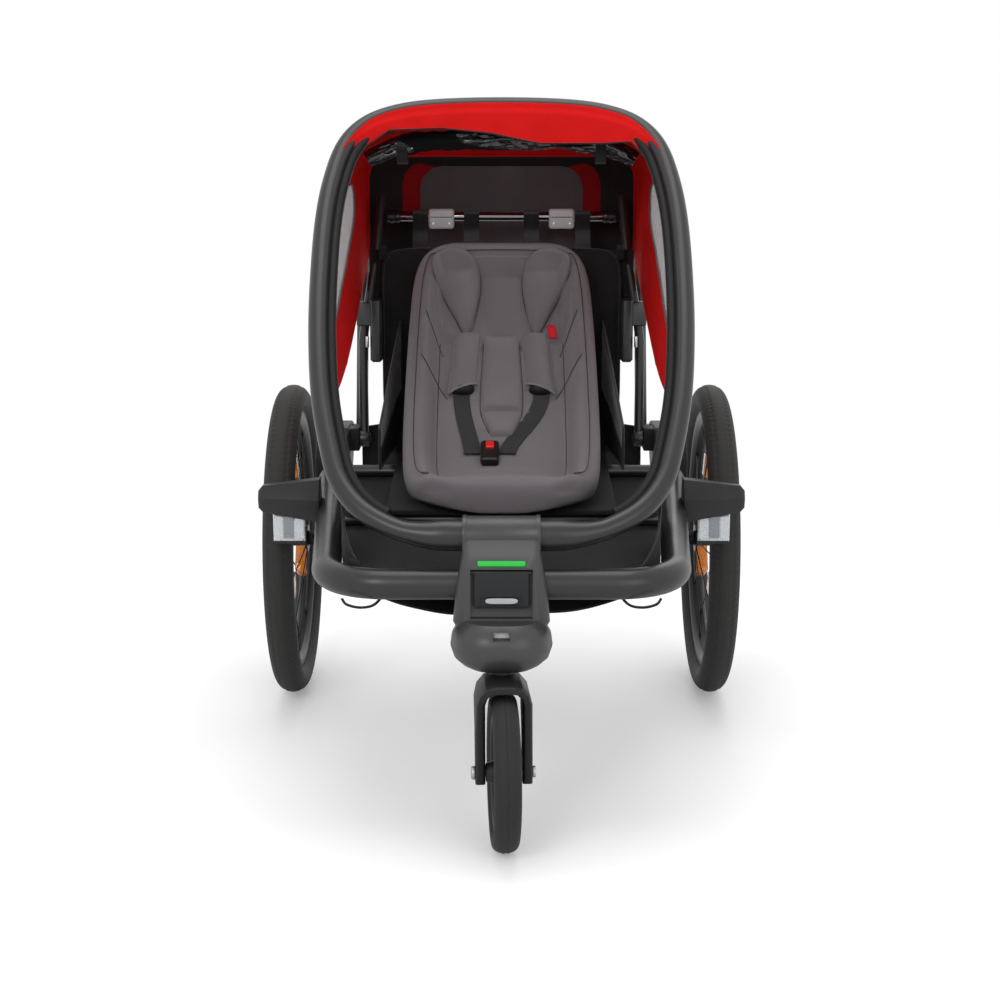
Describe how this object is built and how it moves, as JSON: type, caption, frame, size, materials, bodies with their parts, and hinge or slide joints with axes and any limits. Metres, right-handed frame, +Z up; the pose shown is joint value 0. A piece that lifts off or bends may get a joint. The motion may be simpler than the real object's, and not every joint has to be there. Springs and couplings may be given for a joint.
{
  "type": "child bike trailer",
  "caption": "Fabric-covered child trailer in stroller set-up: tubular front hoop, seat with infant insert, spoked rear wheels, swivelling front caster and push handle.",
  "frame": {"origin": "on the floor under the middle of the whole object's outline, halfway along its length and width", "axes": "+Z is up, -Y points forwards to the caster, +X is to the right for someone who looks at the front"},
  "size_m": [0.754, 1.0715, 0.9517],
  "materials": {
    "frame_paint": "satin dark grey",
    "bar_chrome": "polished",
    "hub_plastic": "fine grain",
    "lever_plastic": "fine grain",
    "indicator_green": "gloss",
    "lock_grey": "satin",
    "mount_plastic": "fine grain",
    "pedal_plastic": "fine grain",
    "fork_plastic": "satin",
    "arm_plastic": "satin",
    "clamp_plastic": "satin",
    "lens_clear": "clear reflector",
    "lens_orange": "reflector",
    "tyre_rubber": "fine tread",
    "caster_rubber": "smooth",
    "wheel_black": "satin black",
    "caster_rim_plastic": "satin",
    "pin_steel": "bright",
    "axle_cap": "satin",
    "grip_foam": "soft foam",
    "seal_rubber": "matt",
    "fabric_black": "woven",
    "fabric_charcoal": "woven",
    "fabric_red": "woven",
    "window_film": "clear film",
    "mesh_grey": "open weave",
    "insert_grey": "soft knit",
    "webbing_black": "woven tape",
    "buckle_black": "satin",
    "buckle_red": "satin"
  },
  "bodies": {
    "base": {"bumper_tube": "frame_paint", "rear_cross_tube": "frame_paint", "front_seat_tube": "frame_paint", "rear_seat_tube": "frame_paint", "front_hub": "hub_plastic", "hub_indicator": "indicator_green", "left_wheel_mount": "mount_plastic", "right_wheel_mount": "mount_plastic", "left_bumper_arm": "arm_plastic", "right_bumper_arm": "arm_plastic", "left_arm_reflector": "lens_clear", "right_arm_reflector": "lens_clear", "floor_pan": "fabric_black", "belly_fabric": "fabric_black", "left_front_panel": "fabric_black", "right_front_panel": "fabric_black", "seat_base": "fabric_black", "left_mesh_panel": "mesh_grey", "right_mesh_panel": "mesh_grey", "infant_insert": "insert_grey", "head_pad": "insert_grey", "body_pad": "insert_grey", "left_shoulder_pad": "insert_grey", "right_shoulder_pad": "insert_grey", "left_harness_strap": "webbing_black", "right_harness_strap": "webbing_black", "harness_buckle": "buckle_black"},
    "hoop": {"main_hoop": "frame_paint", "hoop_seal": "seal_rubber", "canopy": "fabric_red", "left_window": "window_film", "right_window": "window_film", "rear_flap": "fabric_charcoal", "rolled_cover": "fabric_black"},
    "upright": {"left_seat_post": "frame_paint", "right_seat_post": "frame_paint", "harness_bar": "bar_chrome", "left_bar_clamp": "clamp_plastic", "right_bar_clamp": "clamp_plastic", "left_shoulder_belt": "webbing_black", "right_shoulder_belt": "webbing_black", "seat_back": "fabric_black"},
    "handle": {"push_handle": "frame_paint", "handle_grip": "grip_foam"},
    "pedal": {"brake_pedal": "pedal_plastic"},
    "lever": {"release_lever": "lever_plastic"},
    "lock": {"lock_button": "lock_grey"},
    "buckle_release": {"buckle_button": "buckle_red"},
    "left_axle_release": {"left_axle_button": "axle_cap"},
    "right_axle_release": {"right_axle_button": "axle_cap"},
    "left_rear_wheel": {"left_tyre": "tyre_rubber", "left_wheel": "wheel_black", "left_spoke_reflector": "lens_orange"},
    "right_rear_wheel": {"right_tyre": "tyre_rubber", "right_wheel": "wheel_black", "right_spoke_reflector": "lens_orange"},
    "caster": {"caster_fork": "fork_plastic", "caster_axle": "pin_steel"},
    "caster_wheel": {"caster_tyre": "caster_rubber", "caster_rim": "caster_rim_plastic"}
  },
  "joints": [
    {"name": "hoop_fold", "type": "hinge", "parent": "base", "child": "hoop", "pos_m": [0, -0.32985, 0.385], "axis": [-1, 0, 0], "range_deg": [0, 26], "deforming": ["canopy", "left_window", "right_window", "rear_flap", "left_front_panel", "right_front_panel", "infant_insert", "head_pad", "body_pad", "left_shoulder_pad", "right_shoulder_pad", "left_harness_strap", "right_harness_strap", "harness_buckle", "buckle_button", "left_mesh_panel", "right_mesh_panel"]},
    {"name": "upright_fold", "type": "hinge", "parent": "base", "child": "upright", "pos_m": [0, 0.31575, 0.41], "axis": [1, 0, 0], "range_deg": [0, 88]},
    {"name": "handle_angle", "type": "hinge", "parent": "base", "child": "handle", "pos_m": [0, 0.37075, 0.41], "axis": [-1, 0, 0], "range_deg": [0, 65]},
    {"name": "pedal_press", "type": "hinge", "parent": "base", "child": "pedal", "pos_m": [0, 0.28575, 0.25], "axis": [-1, 0, 0], "range_deg": [0, 25]},
    {"name": "lever_pull", "type": "hinge", "parent": "base", "child": "lever", "pos_m": [0, -0.3855, 0.34875], "axis": [-1, 0, 0], "range_deg": [0, 35], "stiffness_Nm_per_rad": 0.5, "springref_deg": -5.73},
    {"name": "lock_press", "type": "slide", "parent": "base", "child": "lock", "axis": [0, 1, 0], "range_m": [0, 0.003], "stiffness_N_per_m": 400},
    {"name": "buckle_press", "type": "slide", "parent": "base", "child": "buckle_release", "axis": [0, 0.3849, -0.9229], "range_m": [0, 0.0015], "stiffness_N_per_m": 800},
    {"name": "left_axle_press", "type": "slide", "parent": "base", "child": "left_axle_release", "axis": [1, 0, 0], "range_m": [0, 0.0025], "stiffness_N_per_m": 400},
    {"name": "right_axle_press", "type": "slide", "parent": "base", "child": "right_axle_release", "axis": [-1, 0, 0], "range_m": [0, 0.0025], "stiffness_N_per_m": 400},
    {"name": "left_wheel_spin", "type": "hinge", "parent": "base", "child": "left_rear_wheel", "pos_m": [-0.3375, 0.28575, 0.25], "axis": [1, 0, 0], "continuous": true},
    {"name": "right_wheel_spin", "type": "hinge", "parent": "base", "child": "right_rear_wheel", "pos_m": [0.3375, 0.28575, 0.25], "axis": [1, 0, 0], "continuous": true},
    {"name": "caster_swivel", "type": "hinge", "parent": "base", "child": "caster", "pos_m": [0, -0.38925, 0.21325], "axis": [0, 0, 1], "continuous": true},
    {"name": "caster_spin", "type": "hinge", "parent": "caster", "child": "caster_wheel", "pos_m": [0.00275, -0.43417, 0.1015], "axis": [0.9981, 0.061, 0], "continuous": true}
  ],
  "couplings": [
    {"joint": "upright_fold", "follows": "hoop_fold", "ratio": 3.3846}
  ]
}
